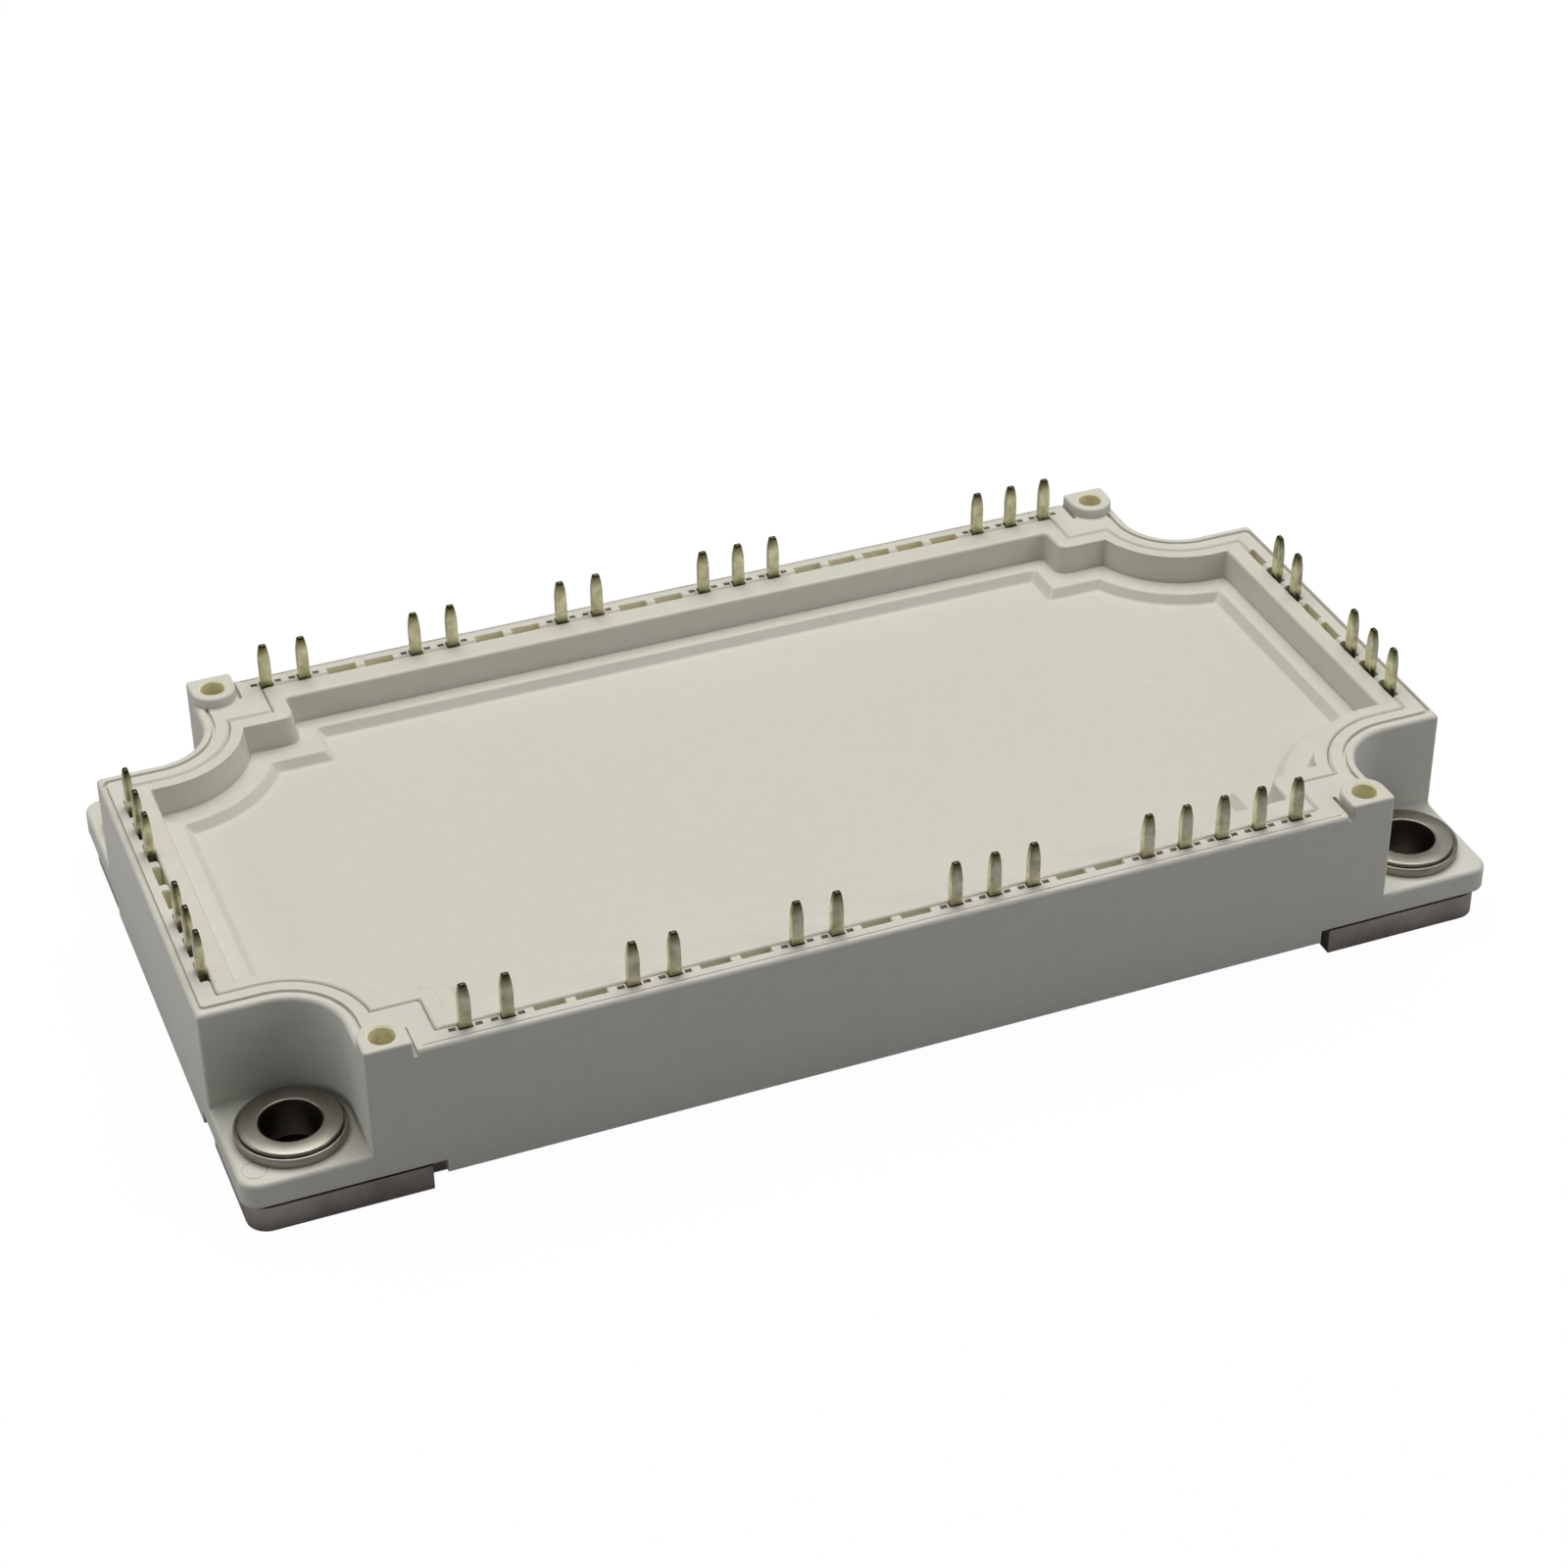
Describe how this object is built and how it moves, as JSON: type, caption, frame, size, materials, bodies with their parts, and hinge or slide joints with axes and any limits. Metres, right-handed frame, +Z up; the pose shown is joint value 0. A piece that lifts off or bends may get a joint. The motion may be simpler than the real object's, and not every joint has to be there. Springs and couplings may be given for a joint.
{
  "type": "rectifier and inverter power module",
  "caption": "Flat power module with a metal baseplate, cream housing, recessed lid, corner screw bushings, board-screw towers and rows of solder pins on all sides.",
  "frame": {"origin": "centre of the baseplate's underside", "axes": "+X along the long side, +Y across towards the row of twelve pins, +Z up out of the lid"},
  "size_m": [0.122, 0.062, 0.0205],
  "materials": {
    "baseplate_metal": "dull nickel plating on copper",
    "housing_plastic": "fine matt moulded surface, cream white",
    "lid_plastic": "fine matt moulded surface, cream white",
    "nickel_bushing": "satin nickel plating on turned brass",
    "tinned_pin": "satin tin plating on copper alloy",
    "solder": "dull solder",
    "copper": "satin copper",
    "ceramic": "fine white ceramic",
    "silicon": "metallised silicon",
    "sensor_ceramic": "dark sintered ceramic",
    "wire_aluminium": "drawn wire",
    "gel": "clear soft gel"
  },
  "bodies": {
    "root": {"back_copper": "copper", "back_pin_01": "tinned_pin", "back_pin_02": "tinned_pin", "back_pin_05": "tinned_pin", "back_pin_06": "tinned_pin", "back_pin_09": "tinned_pin", "back_pin_10": "tinned_pin", "back_pin_13": "tinned_pin", "back_pin_14": "tinned_pin", "back_pin_15": "tinned_pin", "back_pin_21": "tinned_pin", "back_pin_22": "tinned_pin", "back_pin_23": "tinned_pin", "baseplate": "baseplate_metal", "bond_wires": "wire_aluminium", "brake_diode": "silicon", "brake_transistor": "silicon", "bushings": "nickel_bushing", "ceramic_left": "ceramic", "ceramic_middle": "ceramic", "ceramic_right": "ceramic", "conductors_left": "copper", "conductors_middle": "copper", "conductors_right": "copper", "front_pin_01": "tinned_pin", "front_pin_02": "tinned_pin", "front_pin_05": "tinned_pin", "front_pin_06": "tinned_pin", "front_pin_09": "tinned_pin", "front_pin_10": "tinned_pin", "front_pin_13": "tinned_pin", "front_pin_14": "tinned_pin", "front_pin_15": "tinned_pin", "front_pin_18": "tinned_pin", "front_pin_19": "tinned_pin", "front_pin_20": "tinned_pin", "front_pin_21": "tinned_pin", "front_pin_22": "tinned_pin", "housing_frame": "housing_plastic", "inverter_diodes": "silicon", "inverter_transistors": "silicon", "left_pin_01": "tinned_pin", "left_pin_02": "tinned_pin", "left_pin_03": "tinned_pin", "left_pin_06": "tinned_pin", "left_pin_07": "tinned_pin", "left_pin_08": "tinned_pin", "lid": "lid_plastic", "rectifier_diodes": "silicon", "right_pin_02": "tinned_pin", "right_pin_03": "tinned_pin", "right_pin_06": "tinned_pin", "right_pin_07": "tinned_pin", "right_pin_08": "tinned_pin", "silicone_gel": "gel", "substrate_solder": "solder", "thermistor": "sensor_ceramic"}
  },
  "joints": []
}
